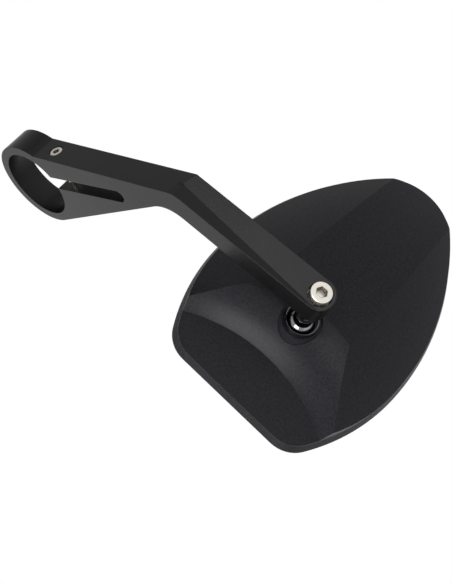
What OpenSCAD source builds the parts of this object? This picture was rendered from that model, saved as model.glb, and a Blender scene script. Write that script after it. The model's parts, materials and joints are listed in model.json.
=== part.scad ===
// Mirror on a machined aluminium arm that clamps round a handlebar end or its adapter.
// Frame: origin in the middle of the clamp bore, Y along the bar, +Z along the arm's
// upright, +X forwards. The glass faces -X, towards the rider.

/* [Bar clamp] */
// Diameter of the bar or adapter that the arm clamps round
bar_d = 32; // [28:0.5:36]
// Thickness of the arm along the bar
arm_t = 12.2; // [11:0.1:14]
// Wall of the clamp ring round the bore
ring_wall = 4; // [3:0.5:6]
// Width of the slot that lets the ring close
slot_w = 5.8; // [4.5:0.1:7]
// Distance from the bar's centre to the centre of the slot's round end
slot_reach = 57.8; // [45:0.2:64]
// Angle between the slot and the lower segment's top face
slot_tilt = 3.9; // [0:0.1:5]
// Distance from the bar's centre to the clamp screw's axis
clamp_screw_at = 18.5; // [18.2:0.1:24]

/* [Arm] */
// Lean of the lower segment, from the upright towards +X
arm_lean = 40; // [35:1:45]
// Height of the lower segment's top face over the bar's centre
arm_top = 17.5; // [17:0.1:19]
// Angle between the lower segment's underside and its top face
underside_taper = 20.2; // [18:0.1:21]
// Distance from the bar's centre to the upright's outer face
arm_reach = 73.3; // [68:0.1:80]
// Thickness of the upright under its outer face
upright_t = 10; // [8.5:0.1:12]
// Height of the mirror's pivot over the bar's centre
pivot_z = 125.7; // [110:0.1:140]
// Radius inside the bend
bend_inner_r = 15; // [8:0.5:20]
// Radius outside the bend
bend_outer_r = 8; // [4:0.5:12]
// Lean of the raised facet on the upright
facet_lean = 13.6; // [8:0.1:16]
// Where the facet's crease lies across the arm at the bend, and how far it runs out to the end
crease_start = 0.0; // [-1:0.1:2]
crease_run = 5.0; // [3:0.1:5.5]

/* [Screws] */
// Thread of the clamp screw
clamp_screw_d = 3; // [2.5:0.5:3]
// Length of the clamp screw under its head
clamp_screw_l = 20; // [18:1:22]
// Thread of the pivot screw
pivot_screw_d = 5; // [4:1:5]
// How far the pivot screw's head stands over the facet
pivot_head_proud = 2.3; // [1:0.1:3]

/* [Ball joint] */
// Distance from the upright's outer face down to the ball's centre
ball_drop = 27; // [25:0.1:30]
// Diameter of the ball
ball_d = 12; // [11:0.5:12]
// Diameter of the ball's neck
neck_d = 8; // [7.4:0.1:8.4]
// Wall of the two nylon seats round the ball
seat_wall = 1; // [0.8:0.1:1.2]
// Gap at each running surface of the ball joint
joint_gap = 0.05; // [0.03:0.01:0.08]
// Diameter of the socket's mouth
mouth_d = 12.8; // [12.4:0.1:13.2]
// Outer diameter of the socket body
socket_d = 20; // [19:0.5:22]

/* [Mirror head] */
// Distance from the ball to the head's flat end
head_rear = 38; // [36:0.2:40]
// Distance from the ball to the head's round tip
head_front = 94.4; // [90:0.2:96]
// Half of the head's width
head_half_w = 46.6; // [44:0.2:48]
// How far towards the tip the head is widest
widest_at = 11.7; // [9:0.1:13]
// Radius of the tip
tip_r = 23.8; // [22:0.2:26]
// Radius of the sides behind the widest place
flank_r = 85; // [80:1:90]
// Radius of the two rear corners
corner_r = 13.4; // [11:0.1:15]
// Turn of the head about the ball's neck
head_turn = 4; // [0:0.1:8]
// Wall of the housing
shell_wall = 2.2; // [1.8:0.1:3]
// Height of the crown over the ball's centre
crown_h = 3.6; // [3.4:0.1:4.4]
// Depth of the rim below the ball's centre
rim_depth = 16.5; // [16.2:0.1:17.5]
// Height of the bevel round the rim
bevel_h = 3.4; // [2.8:0.1:4]
// How far the bevel leans in over its height
bevel_w = 1.4; // [1:0.1:1.6]

/* [Mirror back] */
// Radius of the long curve of the central strip
strip_r = 268; // [265:1:300]
// How far behind the ball the strip would be highest
strip_top_at = 3.3; // [0:0.1:4]
// Half width of the strip at the ball
strip_half_w = 20.5; // [19:0.1:21.5]
// Angle at which each edge of the strip closes in towards the tip
strip_closing = 3.6; // [2:0.1:4]
// Slope of a flank where it leaves the strip
flank_slope = 24.3; // [22:0.1:25]
// Radius of a flank across the head
flank_curve_r = 117; // [110:1:125]
// Radius of the arc that ends the rear slope, in plan
arc_r = 69.7; // [65:0.1:75]
// Distance from the ball to that arc, on the centre line
arc_at = 14.9; // [14:0.1:16]
// Depth of that arc below the ball's centre
arc_depth = 11.6; // [11:0.1:11.8]
// Run of the rear slope, from the crown to the arc
rear_run = 27.3; // [25:0.1:29]

/* [Glass] */
// Thickness of the mirror glass
glass_t = 1.6; // [1.4:0.1:1.8]
// Thickness of the adhesive pad
pad_t = 0.5; // [0.4:0.1:0.6]
// Gap round the glass in its recess
glass_gap = 0.3; // [0.2:0.1:0.6]
// How far the rim stands in front of the glass
lip_h = 0.3; // [0.2:0.1:0.4]

/* [Hidden] */

// Directions and points of the arm, as [x, z]
along = [sin(arm_lean), cos(arm_lean)];
outward = [cos(arm_lean), -sin(arm_lean)];
ring_r = bar_d / 2 + ring_wall;
upright_in = arm_reach - upright_t;
function arm_point(d, n) = d * along + n * outward;

// The lower segment's top face meets the upright's outer face at the bend
bend_d = (arm_reach - arm_top * outward[0]) / along[0];
bend_z = arm_point(bend_d, arm_top)[1];
under_heading = arm_lean + underside_taper;
under_start = arm_point(ring_r * sin(underside_taper), -ring_r * cos(underside_taper));
under_end = [upright_in,
    under_start[1] + (upright_in - under_start[0]) / tan(under_heading)];

// Slot, measured along and across the lower segment
slot_side = 3.35;
slot_from = 5;

// Raised facet: its crease runs from the bend to the pivot
crease_skew = atan((crease_run - crease_start) / (pivot_z - bend_z));
facet_over_pivot = crease_run * tan(facet_lean);

// Socket cap screws: head diameter, head height and hexagon follow the thread
function cap_d(d) = d == 5 ? 8.5 : (d == 4 ? 7 : (d == 3 ? 5.5 : 4.5));
function hex_af(d) = 0.8 * d;
thread_gap = 0.05;
bore_gap = 0.25;

// Levels along the pivot's axis, as x
ball_x = arm_reach - ball_drop;
pivot_head_x = arm_reach + facet_over_pivot + pivot_head_proud;
washer_t = 1;
washer_x = pivot_head_x - pivot_screw_d - washer_t;
pivot_screw_l = 16;
shoulder_t = 2;
shoulder_d = 10.5;

// Spheres of the ball joint
ball_r = ball_d / 2;
seat_in_r = ball_r + joint_gap;
seat_out_r = seat_in_r + seat_wall;
socket_r = seat_out_r + joint_gap;
mouth_r = mouth_d / 2;
mouth_h = sqrt(pow(socket_r, 2) - pow(mouth_r, 2));
seat_split = -0.5;
seat_top = 1.2;
seat_foot = -5.2;

// Levels in the head, as heights over the ball's centre
plate_t = 0.8;
glass_front = -rim_depth + lip_h;
glass_back = glass_front + glass_t;
pad_back = glass_back + pad_t;
plate_back = pad_back + plate_t;
ring_top = crown_h + 0.3;
ring_foot = crown_h - 1.2;
ring_out_r = mouth_r + 1;
collar_r = mouth_r + 1.8;
collar_foot = crown_h - 12.8;
cup_foot = -socket_r - 1.2;
spring_t = 0.9;
plug_top = cup_foot - spring_t;
plug_foot = plug_top - 3.4;
socket_foot = plug_foot - 0.4;
flange_top = -4.6;
flange_t = 2;
socket_bolt_r = 13.8;
ear_r = 3.4;
socket_screw_d = 2.5;
socket_screw_l = 5.5;
boss_r = 3;
centre_hole_r = 12.5;

// Steps inwards from the head's outline: the glass recess, the plate's pocket, the hollow
rim_lip = 2.8;
pocket_in = 5.4;
hollow_in = 7.4;
plate_rear = 24;

// The rim's bevel shrinks the outline about its middle
side_mid = (head_front - head_rear) / 2;
side_half_l = (head_front + head_rear) / 2;
side_scale = [1 - bevel_w / side_half_l, 1 - bevel_w / head_half_w];

// Plan of the back's surfaces
arc_centre = -(arc_at + arc_r);
panel_fall = 4;
rear_top = crown_h + 0.15;
rear_rise = rear_top + arc_depth;
rear_r = (pow(rear_run, 2) + pow(rear_rise, 2)) / (2 * rear_rise);
strip_axis_h = crown_h - strip_r;
flank_mid_w = strip_half_w - flank_curve_r * sin(flank_slope);
flank_major = strip_r - flank_curve_r * cos(flank_slope);

// A flat shape drawn in X and Z, made as thick as asked along the bar
module plate_y(t) {
    rotate([90, 0, 0])
        linear_extrude(t, center = true)
            children();
}

// Places that the other modules share
module at_clamp_screw() {
    p = arm_point(clamp_screw_at, arm_top);
    translate([p[0], 0, p[1]])
        rotate([0, arm_lean - 90, 0])
            children();
}

module on_pivot() {
    translate([ball_x, 0, pivot_z])
        rotate([0, 90, 0])
            children();
}

// Inside the head: X runs to the tip, Y across and Z out of the mirror's back
module on_head() {
    translate([ball_x, 0, pivot_z])
        rotate([-head_turn, 0, 0])
            rotate([0, 90, 0])
                rotate([0, 0, -90])
                    children();
}

module arm_profile() {
    difference() {
        union() {
            circle(r = ring_r, $fn = 96);
            polygon([
                arm_point(0, arm_top), [arm_reach, bend_z], [arm_reach, pivot_z],
                [upright_in, pivot_z], under_end, under_start, [0, 0]
            ]);
            bend_inner_fillet();
        }
        bend_outer_round();
    }
}

module bend_inner_fillet() {
    c = [upright_in - bend_inner_r, under_end[1] + bend_inner_r * tan(under_heading / 2)];
    t = c + bend_inner_r * [cos(under_heading), -sin(under_heading)];
    difference() {
        polygon([t, under_end + [1, 0], [upright_in + 1, c[1]], [upright_in, c[1]]]);
        translate(c)
            circle(r = bend_inner_r, $fn = 96);
    }
}

module bend_outer_round() {
    c = [arm_reach - bend_outer_r, bend_z + bend_outer_r * tan(arm_lean / 2)];
    t = c + bend_outer_r * outward;
    difference() {
        polygon([t, [arm_reach + 1, bend_z - 1], [arm_reach + 1, c[1]], [arm_reach, c[1]], c]);
        translate(c)
            circle(r = bend_outer_r, $fn = 96);
    }
}

// Wedge between the upright's outer face and the raised facet, which share the crease
module facet_wedge() {
    foot = arm_reach - 3;
    head = arm_reach + 6;
    intersection() {
        plate_y(arm_t)
            polygon([
                [foot, bend_z + (foot - arm_reach) / tan(arm_lean)],
                [head, bend_z + (head - arm_reach) / tan(arm_lean)],
                [head, pivot_z + arm_t], [foot, pivot_z + arm_t]
            ]);
        translate([arm_reach, crease_start, bend_z])
            rotate([-crease_skew, 0, 0])
                rotate([0, 0, facet_lean])
                    translate([-20, -30, -20])
                        cube([20, 60, 120]);
        translate([arm_reach, crease_start, bend_z])
            rotate([-crease_skew, 0, 0])
                translate([-20, -40, -20])
                    cube([40, 40, 120]);
        arm_end_limit();
    }
}

// Everything below the pivot, and a round end about the pivot's axis
module arm_end_limit() {
    union() {
        translate([0, -arm_t, 0])
            cube([2 * arm_reach, 2 * arm_t, pivot_z]);
        translate([0, 0, pivot_z])
            rotate([0, 90, 0])
                cylinder(h = 2 * arm_reach, d = arm_t, $fn = 64);
    }
}

module clamp_arm() {
    color([0.09, 0.09, 0.095])
        difference() {
            union() {
                plate_y(arm_t)
                    arm_profile();
                translate([upright_in, 0, pivot_z])
                    rotate([0, 90, 0])
                        cylinder(h = upright_t, d = arm_t, $fn = 64);
                facet_wedge();
            }
            rotate([90, 0, 0])
                cylinder(h = 2 * arm_t, d = bar_d, center = true, $fn = 96);
            clamp_slot();
            at_clamp_screw() {
                translate([0, 0, -2])
                    cylinder(h = 2 + clamp_screw_d + 0.2, d = cap_d(clamp_screw_d) + 0.6, $fn = 48);
                cylinder(h = clamp_screw_d + clamp_screw_l + 1.5, d = clamp_screw_d + 2 * thread_gap,
                    $fn = 32);
            }
            pivot_bore();
        }
}

module clamp_slot() {
    rotate([0, arm_lean - 90, 0])
        rotate([0, slot_tilt, 0])
            translate([0, 0, -slot_side])
                plate_y(2 * arm_t) {
                    translate([slot_from, -slot_w / 2])
                        square([slot_reach - slot_from, slot_w]);
                    translate([slot_reach, 0])
                        circle(d = slot_w, $fn = 48);
                }
}

module pivot_bore() {
    translate([upright_in - 1, 0, pivot_z])
        rotate([0, 90, 0]) {
            cylinder(h = upright_t, d = pivot_screw_d + 2 * bore_gap, $fn = 48);
            translate([0, 0, washer_x - upright_in + 1])
                cylinder(h = 12, d = cap_d(pivot_screw_d) + 0.9, $fn = 64);
        }
}

// Socket cap screw: head's top at z = 0, shank towards +Z
module cap_screw(d, l) {
    difference() {
        union() {
            cylinder(h = d, d = cap_d(d), $fn = 64);
            cylinder(h = d + l, d = d, $fn = 48);
        }
        translate([0, 0, -1])
            cylinder(h = 1 + 0.55 * d, d = hex_af(d) / cos(30), $fn = 6);
    }
}

module clamp_screw() {
    color([0.75, 0.75, 0.73])
        at_clamp_screw()
            translate([0, 0, 0.2])
                cap_screw(clamp_screw_d, clamp_screw_l);
}

module pivot_screw() {
    color([0.8, 0.78, 0.72])
        translate([pivot_head_x, 0, pivot_z])
            rotate([0, -90, 0])
                cap_screw(pivot_screw_d, pivot_screw_l);
}

module pivot_washer() {
    color([0.7, 0.7, 0.7])
        translate([washer_x, 0, pivot_z])
            rotate([0, 90, 0])
                difference() {
                    cylinder(h = washer_t, d = cap_d(pivot_screw_d) + 0.3, $fn = 64);
                    translate([0, 0, -1])
                        cylinder(h = washer_t + 2, d = pivot_screw_d + 2 * bore_gap, $fn = 48);
                }
}

// Ball, neck and shoulder turned in one piece, tapped from above for the pivot screw
module ball_stud() {
    top = upright_in - ball_x;
    screw_end = pivot_head_x - pivot_screw_d - pivot_screw_l - ball_x;
    color([0.8, 0.8, 0.82])
        on_pivot()
            difference() {
                union() {
                    sphere(r = ball_r, $fn = 96);
                    cylinder(h = top, d = neck_d, $fn = 64);
                    translate([0, 0, top - shoulder_t])
                        cylinder(h = shoulder_t, d = shoulder_d, $fn = 64);
                }
                translate([0, 0, screw_end - 1])
                    cylinder(h = top, d = pivot_screw_d + 2 * thread_gap, $fn = 48);
            }
}

// Zone of the nylon liner between two heights
module seat_zone(low, high) {
    intersection() {
        difference() {
            sphere(r = seat_out_r, $fn = 96);
            sphere(r = seat_in_r, $fn = 96);
        }
        translate([-10, -10, low])
            cube([20, 20, high - low]);
    }
}

module upper_seat() {
    color([0.15, 0.15, 0.16])
        on_head()
            seat_zone(seat_split, seat_top);
}

module lower_seat() {
    color([0.15, 0.15, 0.16])
        on_head()
            seat_zone(seat_foot, seat_split - 0.1);
}

// Bright ring in the crown, round the socket's mouth
module mouth_ring() {
    color([0.8, 0.8, 0.82])
        on_head()
            difference() {
                translate([0, 0, ring_foot])
                    cylinder(h = ring_top - ring_foot, r1 = ring_out_r, r2 = mouth_r + 0.6,
                        $fn = 96);
                sphere(r = socket_r, $fn = 96);
                translate([0, 0, mouth_h])
                    cylinder(h = ring_top, r = mouth_r, $fn = 96);
                translate([0, 0, ring_top - 0.3])
                    cylinder(h = 0.6, r1 = mouth_r, r2 = mouth_r + 0.6, $fn = 96);
            }
}

module ball_socket() {
    color([0.5, 0.5, 0.52])
        on_head()
            difference() {
                union() {
                    translate([0, 0, socket_foot])
                        cylinder(h = collar_foot - socket_foot, d = socket_d, $fn = 96);
                    translate([0, 0, collar_foot])
                        cylinder(h = ring_foot - collar_foot, r = collar_r, $fn = 96);
                    socket_bolts()
                        translate([0, 0, flange_top - flange_t])
                            cylinder(h = flange_t, r = ear_r, $fn = 48);
                    socket_bolts()
                        translate([-socket_bolt_r, -ear_r, flange_top - flange_t])
                            cube([socket_bolt_r, 2 * ear_r, flange_t]);
                }
                sphere(r = socket_r, $fn = 96);
                translate([0, 0, socket_foot - 1])
                    cylinder(h = 1 - socket_foot, r = socket_r, $fn = 96);
                socket_bolts()
                    translate([0, 0, flange_top - flange_t - 1])
                        cylinder(h = flange_t + 2, d = socket_screw_d + 2 * bore_gap, $fn = 32);
            }
}

module socket_bolts() {
    for (a = [0, 90, 270])
        rotate([0, 0, a])
            translate([socket_bolt_r, 0, 0])
                children();
}

// Cup that presses the liner on the ball
module pressure_cup() {
    color([0.2, 0.2, 0.2])
        on_head()
            difference() {
                translate([0, 0, cup_foot])
                    cylinder(h = -2 - cup_foot, r = socket_r - joint_gap, $fn = 96);
                sphere(r = socket_r, $fn = 96);
            }
}

// Ring of spring steel, dished between the cup and the plug
module wave_spring() {
    color([0.6, 0.6, 0.6])
        on_head()
            rotate_extrude($fn = 64)
                polygon([
                    [3, cup_foot], [6.4, plug_top + 0.35], [6.4, plug_top], [6, plug_top],
                    [3, cup_foot - 0.35]
                ]);
}

// Plug that is screwed into the socket and slotted for a key
module adjusting_plug() {
    color([0.6, 0.6, 0.55])
        on_head()
            difference() {
                translate([0, 0, plug_foot])
                    cylinder(h = plug_top - plug_foot, r = socket_r - joint_gap, $fn = 96);
                translate([-4.5, -0.75, plug_foot - 1])
                    cube([9, 1.5, 1.8]);
            }
}

module socket_screws() {
    color([0.7, 0.7, 0.7])
        on_head()
            socket_bolts()
                translate([0, 0, flange_top - flange_t - socket_screw_d])
                    cap_screw(socket_screw_d, socket_screw_l);
}

// Points of an arc from one angle to another
function arc_points(c, r, from, to, n) =
    [for (i = [0 : n]) c + r * [cos(from + (to - from) * i / n), sin(from + (to - from) * i / n)]];

// Half outline of the head, from the flat end to the tip, drawn inside the real one by inset
function half_outline(inset) =
    let (
        mid = head_half_w,
        tip_c = [head_front - tip_r, 0],
        side_r = (pow(tip_c[0] - widest_at, 2) + pow(mid, 2) - pow(tip_r, 2)) / (2 * (mid - tip_r)),
        side_c = [widest_at, mid - side_r],
        rear_c = [widest_at, mid - flank_r],
        corner_u = -head_rear + corner_r,
        corner_c = [corner_u,
            rear_c[1] + sqrt(pow(flank_r - corner_r, 2) - pow(corner_u - widest_at, 2))],
        join = atan2(corner_c[1] - rear_c[1], corner_c[0] - rear_c[0]),
        tip_join = atan2(tip_c[1] - side_c[1], tip_c[0] - side_c[0])
    )
    concat(
        arc_points(corner_c, corner_r - inset, 180, join, 8),
        arc_points(rear_c, flank_r - inset, join, 90, 14),
        arc_points(side_c, side_r - inset, 90, tip_join, 22),
        arc_points(tip_c, tip_r - inset, tip_join, 0, 14)
    );

module head_outline(inset) {
    upper = half_outline(inset);
    n = len(upper);
    polygon(concat(upper, [for (i = [n - 1 : -1 : 0]) [upper[i][0], -upper[i][1]]]));
}

// Solid under one flank's surface, and all that lies on the other side of it
module flank_limit(side, inset) {
    rotate([0, 0, -side * strip_closing])
        union() {
            translate([-strip_top_at, side * flank_mid_w, strip_axis_h])
                rotate([-90, 0, 0])
                    rotate_extrude($fn = 180)
                        translate([flank_major, 0])
                            circle(r = flank_curve_r - inset, $fn = 90);
            translate([-200, side > 0 ? -200 + flank_mid_w : -flank_mid_w, -100])
                cube([400, 200, 200]);
        }
}

// Slope behind the crown and the low panel beyond its arc, cut about an upright axis
module rear_cut(inset) {
    floor_h = -arc_depth - inset;
    translate([arc_centre, 0, 0])
        rotate_extrude($fn = 180)
            difference() {
                polygon([
                    [0, floor_h - panel_fall], [arc_r, floor_h], [arc_r + rear_run, floor_h],
                    [arc_r + rear_run, crown_h + 20], [0, crown_h + 20]
                ]);
                translate([arc_r + rear_run, rear_top - rear_r])
                    circle(r = rear_r - inset, $fn = 180);
            }
}

// Upright side of the head, drawn inside the real one by inset
module upright_side(inset) {
    translate([0, 0, -rim_depth])
        linear_extrude(crown_h + rim_depth + 1)
            head_outline(inset);
}

// Outer side of the head, which leans in over the rim's bevel and is upright above it
module bevelled_side() {
    translate([side_mid, 0, -rim_depth])
        linear_extrude(bevel_h, scale = side_scale)
            translate([-side_mid, 0])
                head_outline(0);
    translate([side_mid, 0, bevel_h - rim_depth])
        linear_extrude(crown_h + rim_depth + 1 - bevel_h)
            scale(side_scale)
                translate([-side_mid, 0])
                    head_outline(0);
}

// The surfaces of the mirror's back, moved inwards by inset, over the side that is given
module head_body(inset) {
    difference() {
        intersection() {
            children();
            translate([-strip_top_at, 0, strip_axis_h])
                rotate([90, 0, 0])
                    cylinder(h = 200, r = strip_r - inset, center = true, $fn = 360);
            flank_limit(1, inset);
            flank_limit(-1, inset);
        }
        rear_cut(inset);
    }
}

// Outline of the backing plate and its pad, which end before the low panel
module plate_outline(inset) {
    difference() {
        head_outline(inset);
        translate([-plate_rear - 50 + inset - pocket_in, -100])
            square([50, 200]);
    }
}

module mirror_housing() {
    color([0.07, 0.07, 0.075])
        on_head()
            difference() {
                union() {
                    difference() {
                        head_body(0)
                            bevelled_side();
                        translate([0, 0, -rim_depth - 1])
                            linear_extrude(1 + rim_depth + glass_back)
                                head_outline(rim_lip);
                        translate([0, 0, glass_back - 1])
                            linear_extrude(1 + plate_back - glass_back)
                                plate_outline(pocket_in);
                        intersection() {
                            head_body(shell_wall)
                                upright_side(hollow_in);
                            translate([-plate_rear + hollow_in - pocket_in, -100, plate_back - 1])
                                cube([200, 200, 50]);
                        }
                    }
                    intersection() {
                        socket_bolts()
                            translate([0, 0, flange_top])
                                cylinder(h = 12, r = boss_r, $fn = 48);
                        head_body(shell_wall / 2)
                            upright_side(rim_lip);
                    }
                }
                translate([0, 0, collar_foot])
                    cylinder(h = 30, r = collar_r + joint_gap, $fn = 96);
                socket_bolts()
                    translate([0, 0, flange_top - 1])
                        cylinder(h = socket_screw_l, d = socket_screw_d + 2 * thread_gap, $fn = 32);
            }
}

module adhesive_pad() {
    color([0.3, 0.3, 0.3])
        on_head()
            translate([0, 0, glass_back])
                linear_extrude(pad_t)
                    difference() {
                        plate_outline(pocket_in + glass_gap);
                        circle(r = centre_hole_r, $fn = 96);
                    }
}

module backing_plate() {
    color([0.12, 0.12, 0.12])
        on_head()
            translate([0, 0, pad_back])
                linear_extrude(plate_t)
                    difference() {
                        plate_outline(pocket_in + glass_gap);
                        circle(r = centre_hole_r, $fn = 96);
                    }
}

module mirror_glass() {
    color([0.7, 0.75, 0.8])
        on_head()
            translate([0, 0, glass_front])
                linear_extrude(glass_t)
                    head_outline(rim_lip + glass_gap);
}

clamp_arm();
clamp_screw();
pivot_screw();
pivot_washer();
ball_stud();
upper_seat();
lower_seat();
mouth_ring();
ball_socket();
pressure_cup();
wave_spring();
adjusting_plug();
socket_screws();
mirror_housing();
backing_plate();
adhesive_pad();
mirror_glass();
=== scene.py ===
# %% [markdown]
# # A handlebar mirror in its studio
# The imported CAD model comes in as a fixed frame: each rigid piece is already there at its real size, in metres.
# This script gives every piece the finish of the real one, adds the fine work that CAD leaves out, and sets up
# the camera, the floor and the lamps.

# %% Load the frame
import json
import math

import bpy
import numpy as np
from mathutils import Matrix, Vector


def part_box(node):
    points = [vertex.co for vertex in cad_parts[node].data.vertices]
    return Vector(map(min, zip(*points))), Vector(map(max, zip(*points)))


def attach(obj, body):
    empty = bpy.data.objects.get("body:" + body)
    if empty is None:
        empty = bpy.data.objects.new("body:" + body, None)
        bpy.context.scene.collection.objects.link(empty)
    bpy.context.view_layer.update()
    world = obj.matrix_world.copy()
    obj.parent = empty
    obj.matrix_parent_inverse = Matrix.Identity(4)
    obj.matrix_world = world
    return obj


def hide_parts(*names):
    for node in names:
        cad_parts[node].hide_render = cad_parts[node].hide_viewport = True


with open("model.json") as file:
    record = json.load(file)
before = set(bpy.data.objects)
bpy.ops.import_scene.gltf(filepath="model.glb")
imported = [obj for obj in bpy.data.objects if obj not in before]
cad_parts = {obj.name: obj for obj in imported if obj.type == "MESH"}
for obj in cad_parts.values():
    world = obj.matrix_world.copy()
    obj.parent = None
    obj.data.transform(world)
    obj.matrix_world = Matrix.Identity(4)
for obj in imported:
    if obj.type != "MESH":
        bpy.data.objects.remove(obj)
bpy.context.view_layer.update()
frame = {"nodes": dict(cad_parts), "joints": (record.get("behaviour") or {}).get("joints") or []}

MM = 0.001
nodes = frame["nodes"]
BALL_AT = tuple(next(joint for joint in frame["joints"] if joint["name"] == "head_swivel")["pos_m"])
print("nodes:", ", ".join(sorted(nodes)))
print("the head turns about", BALL_AT)

# %% [markdown]
# ## The camera first
# The photograph looks steeply onto the back of the mirror head, and the camera is rolled, so that the arm runs
# from the upper left to the lower right. The camera's place and its three axes were solved from straight edges
# of the arm. A matrix with those axes as its columns is exact, where a "look at" helper would need a roll angle
# on top.

# %% Camera
IMAGE_H = 584
FOCAL_PX = 1200.0
SENSOR_H = 24.0
CAMERA_AT = (0.4614, 0.2069, 0.1405)
CAMERA_RIGHT = np.array([0.207, -0.608, 0.767])
CAMERA_UP = np.array([0.385, -0.670, -0.635])


def facing_matrix(at, right, up):
    """Columns are right, up made square to it, their cross product (backwards) and the place."""
    right = right / np.linalg.norm(right)
    up = up - right * (up @ right)
    up = up / np.linalg.norm(up)
    m = np.eye(4)
    m[:3, 0], m[:3, 1], m[:3, 2], m[:3, 3] = right, up, np.cross(right, up), at
    return Matrix(m.tolist())


camera_data = bpy.data.cameras.new("camera")
camera_data.sensor_fit = "VERTICAL"
camera_data.sensor_height = SENSOR_H
camera_data.lens = FOCAL_PX / IMAGE_H * SENSOR_H
camera_data.clip_start = 0.01
camera = bpy.data.objects.new("camera", camera_data)
bpy.context.scene.collection.objects.link(camera)
camera.matrix_world = facing_matrix(CAMERA_AT, CAMERA_RIGHT, CAMERA_UP)
bpy.context.scene.camera = camera
bpy.context.scene.view_settings.view_transform = "Standard"
print("lens %.1f mm on a sensor %.0f mm high" % (camera_data.lens, camera_data.sensor_height))

# %% [markdown]
# ## Helpers for materials
# A finish is a small network of shader nodes. One function adds a node with its settings and links, one turns a
# hex colour, which is sRGB, into the linear values that shaders work with, and one starts a material. Blender's
# noise stays mostly between 0.3 and 0.7, so a Map Range node stretches that span onto the values a finish needs.

# %% Colour and node helpers
NOISE_SPAN = {"From_Min": 0.3, "From_Max": 0.7}


def linear(hex_colour):
    """Each sRGB channel c becomes c / 12.92 under 0.04045, and ((c + 0.055) / 1.055) ** 2.4 above."""
    c = np.array([int(hex_colour[i:i + 2], 16) for i in (1, 3, 5)]) / 255
    return tuple(np.where(c < 0.04045, c / 12.92, ((c + 0.055) / 1.055) ** 2.4)) + (1.0,)


def add(tree, kind, settings=None, **inputs):
    """Adds a node. An input is named, or numbered as i0, and gets a value or a link from a socket."""
    node = tree.nodes.new(kind)
    for name, value in (settings or {}).items():
        setattr(node, name, value)
    for name, value in inputs.items():
        numbered = name[0] == "i" and name[1:].isdigit()
        socket = node.inputs[int(name[1:]) if numbered else name.replace("_", " ")]
        if isinstance(value, bpy.types.NodeSocket):
            tree.links.new(value, socket)
        else:
            socket.default_value = value
    return node


def new_material(name, **principled):
    """A material with one Principled shader, whose uniform values are set on its own sockets."""
    material = bpy.data.materials.new(name)
    material.use_nodes = True
    tree = material.node_tree
    tree.nodes.clear()
    shader = add(tree, "ShaderNodeBsdfPrincipled", **principled)
    output = add(tree, "ShaderNodeOutputMaterial")
    tree.links.new(shader.outputs[0], output.inputs["Surface"])
    return material, tree, shader


print("hex #808080 is %.3f in linear light" % linear("#808080")[0])

# %% [markdown]
# ## Black finishes
# The arm is aluminium that was milled, blasted with fine beads and anodised black. The blasting leaves pits of a
# fraction of a millimetre, which spread each highlight into a soft sheen. They are drawn somewhat coarser than
# they are, because finer ones would not show in the render. The head is a casting with a black coating, a little
# rougher and with a coarser grain. On the arm nearly all that the eye sees is reflected light, and the coating
# adds a dark grey of its own. The specular level was matched to the photograph, and stays well under the usual
# 0.5. A Bevel node rounds the shading at sharp edges, as blasting rounds the real ones.

# %% Black anodised aluminium and black coating
PATCH_MM = 14.0
PATCH_ROUGHNESS = 0.02
BEVEL_SAMPLES = 6


def black_finish(name, pit, crest, roughness, specular, grain_mm, depth_mm, edge_mm):
    """A fine noise makes the pits, by bump and by a darker colour, and a broad one varies the roughness."""
    material, tree, shader = new_material(name, Specular_IOR_Level=specular)
    place = add(tree, "ShaderNodeTexCoord").outputs["Object"]
    fine = add(tree, "ShaderNodeTexNoise", Vector=place, Scale=1.0 / (grain_mm * MM), Detail=3.0).outputs[0]
    shade = add(tree, "ShaderNodeMapRange", Value=fine, To_Min=0.0, To_Max=1.0, **NOISE_SPAN)
    tint = add(tree, "ShaderNodeMix", {"data_type": "RGBA"}, Factor=shade.outputs["Result"],
               i6=linear(pit), i7=linear(crest))
    tree.links.new(tint.outputs[2], shader.inputs["Base Color"])
    edge = add(tree, "ShaderNodeBevel", {"samples": BEVEL_SAMPLES}, Radius=edge_mm * MM)
    bump = add(tree, "ShaderNodeBump", Strength=1.0, Distance=depth_mm * MM, Height=fine,
               Normal=edge.outputs["Normal"])
    tree.links.new(bump.outputs["Normal"], shader.inputs["Normal"])
    broad = add(tree, "ShaderNodeTexNoise", Vector=place, Scale=1.0 / (PATCH_MM * MM), Detail=2.0)
    rough = add(tree, "ShaderNodeMapRange", Value=broad.outputs[0], To_Min=roughness - PATCH_ROUGHNESS,
                To_Max=roughness + PATCH_ROUGHNESS, **NOISE_SPAN)
    tree.links.new(rough.outputs["Result"], shader.inputs["Roughness"])
    return material


BLACK_ANODISED = black_finish("blasted_anodised_aluminium", pit="#050506", crest="#0d0d0e", roughness=0.30,
                              specular=0.222, grain_mm=0.7, depth_mm=0.035, edge_mm=0.35)
BLACK_COATING = black_finish("black_coated_casting", pit="#18171a", crest="#252428", roughness=0.34,
                             specular=0.095, grain_mm=0.8, depth_mm=0.040, edge_mm=0.40)
print("black finishes:", BLACK_ANODISED.name, BLACK_COATING.name)

# %% [markdown]
# ## Bright metals
# The cap screws are stainless steel, turned on a lathe, which gives a bright and slightly warm sheen. The sockets
# for the key are broached, and their walls get a darker steel than their floor: painted shade, as they face away
# from the light.
# The ball stud is chrome plated. That is nearly a perfect mirror, so it takes its look from what stands round it,
# and a dark tint stands for the dim room that the real one mirrors.

# %% Stainless steel and chrome
TURNING_MM = 0.5


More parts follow.
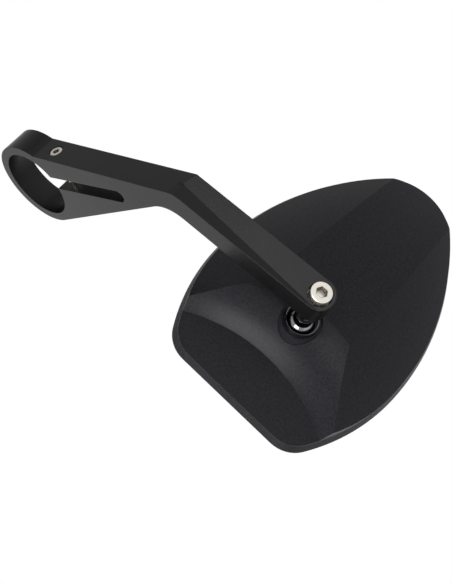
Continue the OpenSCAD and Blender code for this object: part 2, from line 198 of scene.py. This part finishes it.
def turned_steel(name, base, roughness):
    """Steel whose roughness varies from 0.05 under to 0.07 over the given one, at the scale of the turning."""
    material, tree, shader = new_material(name, Base_Color=linear(base), Metallic=1.0)
    place = add(tree, "ShaderNodeTexCoord").outputs["Object"]
    noise = add(tree, "ShaderNodeTexNoise", Vector=place, Scale=1.0 / (TURNING_MM * MM), Detail=2.0)
    rough = add(tree, "ShaderNodeMapRange", Value=noise.outputs[0], To_Min=roughness - 0.05,
                To_Max=roughness + 0.07, **NOISE_SPAN)
    tree.links.new(rough.outputs["Result"], shader.inputs["Roughness"])
    return material


STAINLESS = turned_steel("turned_stainless_steel", "#dcd8ce", 0.28)
# a darker steel that paints shade onto the sockets' walls
SOCKET_PAINTED_SHADE = turned_steel("socket_wall_painted_shade", "#6e6963", 0.40)
# the chrome's dark tint is a painted reflection of a dim room
CHROME = new_material("chrome_with_painted_dim_reflection", Base_Color=linear("#7d7c7f"), Metallic=1.0, Roughness=0.06)[0]
print("metals:", STAINLESS.name, SOCKET_PAINTED_SHADE.name, CHROME.name)

# %% [markdown]
# ## The ring round the ball
# The ring is black like the head, and a thin band at its inner edge is bright metal: a painted highlight for the
# line of light along the edge's chamfer. It is one piece, so one material shows both the black and the bright
# band, and the distance from the ring's axis decides between them. That axis is the line through the ball's centre
# along X.

# %% Black ring with a painted highlight at its edge
PAINTED_HIGHLIGHT_R = 6.62
EDGE_BLUR = 0.03


def ring_material(highlight_r, blur):
    """Bright metal, a painted highlight, where sqrt(y^2 + z^2) from the ball's X line is under the given radius,
    and black beyond.
    """
    material, tree, shader = new_material("black_ring_with_painted_edge_highlight", Roughness=0.2)
    place = add(tree, "ShaderNodeTexCoord").outputs["Object"]
    centre = add(tree, "ShaderNodeVectorMath", {"operation": "SUBTRACT"}, i0=place, i1=BALL_AT)
    flat = add(tree, "ShaderNodeVectorMath", {"operation": "MULTIPLY"}, i0=centre.outputs[0], i1=(0, 1, 1))
    away = add(tree, "ShaderNodeVectorMath", {"operation": "LENGTH"}, i0=flat.outputs[0])
    bright = add(tree, "ShaderNodeMapRange", Value=away.outputs["Value"], From_Min=(highlight_r - blur) * MM,
                 From_Max=(highlight_r + blur) * MM, To_Min=1.0, To_Max=0.0)
    # the bright metal band at the inner edge is a painted highlight along its chamfer
    tint = add(tree, "ShaderNodeMix", {"data_type": "RGBA"}, Factor=bright.outputs[0],
               i6=linear("#0a0a0b"), i7=linear("#c9cacc"))
    tree.links.new(tint.outputs[2], shader.inputs["Base Color"])
    tree.links.new(bright.outputs[0], shader.inputs["Metallic"])
    return material


RING = ring_material(PAINTED_HIGHLIGHT_R, EDGE_BLUR)
print(RING.name, "is bright up to %.2f mm from its axis" % PAINTED_HIGHLIGHT_R)

# %% [markdown]
# ## Mirror glass and what is inside
# The glass is silvered at its back. From the rider's side only the reflection shows, so it is a metal with hardly
# any roughness. The liner, cup, plug and foam are closed in, and get plain finishes of their kind. The washer, the
# spring and the small screws are steel like the cap screws.

# %% Mirror, plastics and zinc
MIRROR = new_material("silvered_glass", Base_Color=linear("#e6eaec"), Metallic=1.0, Roughness=0.01)[0]
NYLON = new_material("moulded_nylon", Base_Color=linear("#2a2a2c"), Roughness=0.5)[0]
PLATE = new_material("moulded_abs", Base_Color=linear("#1d1d1f"), Roughness=0.55)[0]
ZINC = new_material("cast_zinc", Base_Color=linear("#9a9a9c"), Metallic=1.0, Roughness=0.45)[0]
FOAM = new_material("foam_tape", Base_Color=linear("#3a3a3a"), Roughness=0.9)[0]

FINISHES = {
    BLACK_ANODISED: ["clamp_arm"],
    BLACK_COATING: ["mirror_housing", "ball_socket"],
    STAINLESS: ["clamp_screw", "pivot_screw", "pivot_washer", "socket_screws", "wave_spring"],
    CHROME: ["ball_stud"],
    RING: ["mouth_ring"],
    MIRROR: ["mirror_glass"],
    NYLON: ["upper_seat", "lower_seat", "pressure_cup"],
    PLATE: ["backing_plate"],
    ZINC: ["adjusting_plug"],
    FOAM: ["adhesive_pad"],
}
for material, names in FINISHES.items():
    for name in names:
        nodes[name].data.materials.clear()
        nodes[name].data.materials.append(material)
print("finished:", sum(len(names) for names in FINISHES.values()), "of", len(nodes))

# %% [markdown]
# ## Cap screws with threads, knurls and sockets
# CAD gives the screws plain shanks and smooth heads. The real ones have a rolled thread, which shows where the
# clamp screw crosses the slot, ridges round the head for a finger's grip, and a socket for the key. A screw like
# that is one closed surface of rings, from the middle of the socket's floor, out over the head, down the thread
# and in to the tip. Every ring has as many points as the others, and only the radius changes: along the hexagon
# it follows the flats, on the head it follows the ridges, and on the shank it follows the helix.

# %% Screw sizes in mm, by thread diameter
HEAD_D = {3: 5.5, 5: 8.5}
THREAD_PITCH = {3: 0.5, 5: 0.8}
RIDGES = 30
POINTS = 4 * RIDGES
STEPS_PER_PITCH = 8
# shares of the thread's diameter
ACROSS_FLATS, SOCKET_DEPTH, CHAMFER = 0.8, 0.55, 0.07
TIP_BEVEL_R, TIP_R = 0.42, 0.36
# a share of the head's radius, one of the pitch, and one of the flats
RIDGE_DEPTH, THREAD_DEPTH, SOCKET_FLOOR = 0.03, 0.6, 0.97
# breaks of edges: the socket's floor and mouth, the head's side, and its underside in height and radius
FLOOR_BREAK, MOUTH_BREAK, SIDE_BREAK = 0.1, 0.15, 0.01
UNDER_BREAK_Z, UNDER_BREAK_R = 0.3, 0.25
print("heads:", HEAD_D, "pitches:", THREAD_PITCH)

# %% Screw surface
# strips of faces from the edge of the socket's floor to the socket's mouth, which get the painted shade
SOCKET_STRIPS = 3


def hexagon(angle, across_flats):
    """Distance to the flats of a hexagon: half the size over the cosine of the angle from a flat's middle."""
    return across_flats / 2 / np.cos((angle + math.pi / 6) % (math.pi / 3) - math.pi / 6)


def screw_rings(d, length):
    """Angles of the points, and each ring's heights under the head's top and radii, one column per point.

    The thread's radius falls from the outer one by 0.6 pitch times a triangle wave of z / pitch - angle / turn.
    The wave is stretched and clipped, so crests and roots are narrow flats.
    """
    angle = np.linspace(0, 2 * math.pi, POINTS, endpoint=False)
    head_r, pitch = HEAD_D[d] / 2, THREAD_PITCH[d]
    flats = hexagon(angle, ACROSS_FLATS * d)
    ridge = head_r - RIDGE_DEPTH * head_r * (0.5 - 0.5 * np.cos(RIDGES * angle))
    deep, bevel = SOCKET_DEPTH * d, CHAMFER * d
    rows = [
        (deep, 0.0), (deep, SOCKET_FLOOR * flats), (deep - FLOOR_BREAK, flats), (MOUTH_BREAK, flats),
        (0.0, flats + MOUTH_BREAK), (0.0, head_r - bevel), (0.3 * bevel, head_r - 0.3 * bevel),
        (bevel, head_r - SIDE_BREAK), (1.6 * bevel, ridge), (d - UNDER_BREAK_Z, ridge),
        (d, head_r - UNDER_BREAK_R), (d, d / 2),
    ]
    steps = np.arange(d + pitch, d + length - pitch, pitch / STEPS_PER_PITCH)
    turn = (steps[:, None] / pitch - angle / (2 * math.pi)) % 1
    runs_in = np.clip((steps - steps[0]) / pitch, 0, 1)[:, None]
    wave = np.clip(1.15 * (1 - abs(2 * turn - 1)) - 0.1, 0, 1)
    rows += zip(steps, d / 2 - THREAD_DEPTH * pitch * runs_in * wave)
    end = d + length
    rows += [(end - THREAD_DEPTH * pitch, TIP_BEVEL_R * d), (end, TIP_R * d), (end, 0.0)]
    column = np.ones(POINTS)
    return angle, np.array([z * column for z, _ in rows]), np.array([r * column for _, r in rows])


def screw_mesh(name, d, length, head_at, axis, side):
    """A point is head_at + z axis + r (cos angle side + sin angle third), and one point closes each end."""
    angle, z, r = screw_rings(d, length)
    third = np.cross(axis, side)
    spin = np.cos(angle)[:, None] * side + np.sin(angle)[:, None] * third
    middle = head_at + z[1:-1, :, None] * axis + r[1:-1, :, None] * spin
    ends = head_at + z[[0, -1], :1] * axis
    verts = np.vstack([middle.reshape(-1, 3), ends]) * MM

    rings = len(middle)
    k = np.arange(POINTS)
    after = (k + 1) % POINTS
    start = np.arange(rings - 1)[:, None] * POINTS
    last = (rings - 1) * POINTS
    walls = np.stack([start + k, start + after, start + POINTS + after, start + POINTS + k], axis=-1)
    socket_fan = np.stack([after, k, np.full(POINTS, rings * POINTS)], axis=-1)
    tip_fan = np.stack([last + k, last + after, np.full(POINTS, rings * POINTS + 1)], axis=-1)
    faces = walls.reshape(-1, 4).tolist() + socket_fan.tolist() + tip_fan.tolist()

    mesh = bpy.data.meshes.new(name)
    mesh.from_pydata(verts.tolist(), [], faces)
    mesh.materials.append(STAINLESS)
    mesh.materials.append(SOCKET_PAINTED_SHADE)
    slots = np.zeros(len(faces), dtype=np.int32)
    # the socket's walls and the breaks at their edges take the darker steel, as painted shade
    slots[:SOCKET_STRIPS * POINTS] = 1
    mesh.polygons.foreach_set("material_index", slots)
    print(name, "rings %d, triangles %d" % (rings, 2 * (rings - 1) * POINTS + 2 * POINTS))
    return mesh


# %% [markdown]
# ## The two screws in their places
# The clamp screw stands square to the arm's lower segment, which leans 40 degrees from the upright, and its head
# is let into the upper edge. The pivot screw points back along X into the ball stud, at the ball's height. Both
# ride on the arm, and take the place of the plain CAD screws.

# %% Clamp screw and pivot screw
LEAN = math.radians(40)
ALONG = np.array([math.sin(LEAN), 0, math.cos(LEAN)])
OUTWARD = np.array([math.cos(LEAN), 0, -math.sin(LEAN)])
CLAMP_SCREW_ALONG, ARM_TOP, HEAD_SUNK = 18.5, 17.5, 0.2
CLAMP_HEAD_AT = CLAMP_SCREW_ALONG * ALONG + (ARM_TOP - HEAD_SUNK) * OUTWARD
PIVOT_HEAD_AT = np.array([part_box("pivot_screw")[1][0] / MM, 0.0, BALL_AT[2] / MM])
ACROSS_ARM = np.array([0.0, 1.0, 0.0])
TOWARDS_HEAD = np.array([-1.0, 0.0, 0.0])

SCREWS = {
    "threaded_clamp_screw": ("clamp_screw", 3, 20, CLAMP_HEAD_AT, -OUTWARD),
    "threaded_pivot_screw": ("pivot_screw", 5, 16, PIVOT_HEAD_AT, TOWARDS_HEAD),
}
for name, (cad_screw, d, length, head_at, axis) in SCREWS.items():
    piece = bpy.data.objects.new(name, screw_mesh(name, d, length, head_at, axis, ACROSS_ARM))
    bpy.context.scene.collection.objects.link(piece)
    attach(piece, "arm")
    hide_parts(cad_screw)
    print(name, "M%d x %d stands for" % (d, length), cad_screw)

# %% [markdown]
# ## White where one looks
# The photograph has a white ground. If lamps made it white, they would wash out the black object, so the white is
# an emission of strength 1 that only camera, glossy and transmitted rays meet. Everything else is lit by a plain
# grey room and by the lamps.

# %% Who sees the white, and the world
AMBIENT = 0.4


def white_for_sight(tree):
    """1 for a camera ray, a glossy ray or a transmission ray, and 0 for every other: their sum, clamped."""
    path = add(tree, "ShaderNodeLightPath")
    seen = add(tree, "ShaderNodeMath", {"operation": "ADD"}, i0=path.outputs["Is Camera Ray"],
               i1=path.outputs["Is Glossy Ray"])
    seen = add(tree, "ShaderNodeMath", {"operation": "ADD", "use_clamp": True}, i0=seen.outputs[0],
               i1=path.outputs["Is Transmission Ray"])
    return seen.outputs[0]


world = bpy.data.worlds.new("studio")
bpy.context.scene.world = world
world.use_nodes = True
tree = world.node_tree
tree.nodes.clear()
room = add(tree, "ShaderNodeBackground", Color=(1, 1, 1, 1), Strength=AMBIENT)
sight = add(tree, "ShaderNodeBackground", Color=(1, 1, 1, 1), Strength=1.0)
mix = add(tree, "ShaderNodeMixShader", i0=white_for_sight(tree), i1=room.outputs[0], i2=sight.outputs[0])
output = add(tree, "ShaderNodeOutputWorld")
tree.links.new(mix.outputs[0], output.inputs["Surface"])
print("room light %.1f" % AMBIENT)

# %% [markdown]
# ## Floor
# The floor is plain and pale, and lies well below the clamp. Near the object it is an ordinary matt surface that
# takes the shadow, and further out it fades to the white behind everything.

# %% Floor
FLOOR_Z = -0.16
FLOOR_R = 1.6
FADE_FROM, FADE_TO = 0.13, 0.23


def floor_mesh(radius, z):
    """A square of side 2 radius at height z, as one face."""
    mesh = bpy.data.meshes.new("floor")
    corners = radius * np.array([[-1, -1], [1, -1], [1, 1], [-1, 1]])
    mesh.from_pydata([(x, y, z) for x, y in corners], [], [(0, 1, 2, 3)])
    return mesh


def floor_material():
    """Matt up to FADE_FROM from the middle, white to the eye beyond FADE_TO, and a smooth step between."""
    material = bpy.data.materials.new("pale_floor")
    material.use_nodes = True
    tree = material.node_tree
    tree.nodes.clear()
    matt = add(tree, "ShaderNodeBsdfDiffuse", Color=linear("#e2e2e1"))
    white = add(tree, "ShaderNodeEmission", Strength=1.0)
    place = add(tree, "ShaderNodeTexCoord").outputs["Object"]
    flat = add(tree, "ShaderNodeVectorMath", {"operation": "MULTIPLY"}, i0=place, i1=(1, 1, 0))
    away = add(tree, "ShaderNodeVectorMath", {"operation": "LENGTH"}, i0=flat.outputs[0])
    fade = add(tree, "ShaderNodeMapRange", {"interpolation_type": "SMOOTHSTEP"}, Value=away.outputs["Value"],
               From_Min=FADE_FROM, From_Max=FADE_TO)
    seen = add(tree, "ShaderNodeMath", {"operation": "MULTIPLY"}, i0=fade.outputs["Result"],
               i1=white_for_sight(tree))
    mix = add(tree, "ShaderNodeMixShader", i0=seen.outputs[0], i1=matt.outputs[0], i2=white.outputs[0])
    output = add(tree, "ShaderNodeOutputMaterial")
    tree.links.new(mix.outputs[0], output.inputs["Surface"])
    return material


floor = bpy.data.objects.new("floor", floor_mesh(FLOOR_R, FLOOR_Z))
bpy.context.scene.collection.objects.link(floor)
floor.data.materials.append(floor_material())
print("floor %.0f mm under the clamp's axis" % (-FLOOR_Z / MM))

# %% [markdown]
# ## Lamps
# The object is dark and satin, so its looks come mostly from lamps that its faces mirror. Softboxes a metre or so
# away give soft light. Their directions and powers were fitted so that each face of the arm and of the head comes
# out about as light as in the photograph. The large one at the left makes the sheen on the head's rear slope, and
# the one above lights the arm's upper faces.

# %% Softboxes
# name: direction from the object, distance (m), side of the square (m), power (W)
LAMPS = {
    "key_left": ((0.16, 0.98, 0.06), 1.2, 0.8, 19.0),
    "facet_front": ((1.0, 0.0, 0.01), 1.0, 0.4, 1.0),
    "slope_front": ((0.91, 0.26, -0.32), 1.0, 0.4, 3.6),
    "flank_low": ((0.63, -0.68, -0.38), 1.0, 0.4, 0.6),
    "top": ((0.10, 0.15, 0.98), 1.2, 1.0, 1.5),
}
AIM = np.array([0.03, 0.0, 0.09])
NEARLY_UPRIGHT = 0.9


def place_lamp(name, toward, distance, side, power):
    """A square area lamp at AIM + distance * toward that shines back along toward, and hides from the camera."""
    toward = np.array(toward) / np.linalg.norm(toward)
    light = bpy.data.lights.new(name, "AREA")
    light.shape, light.size, light.energy = "SQUARE", side, power
    lamp = bpy.data.objects.new(name, light)
    bpy.context.scene.collection.objects.link(lamp)
    helper = np.array([0, 0, 1.0]) if abs(toward[2]) < NEARLY_UPRIGHT else np.array([0, 1.0, 0])
    lamp.matrix_world = facing_matrix(AIM + distance * toward, np.cross(helper, toward), helper)
    lamp.visible_camera = False


for name, values in LAMPS.items():
    place_lamp(name, *values)
print("lamps:", ", ".join(LAMPS))
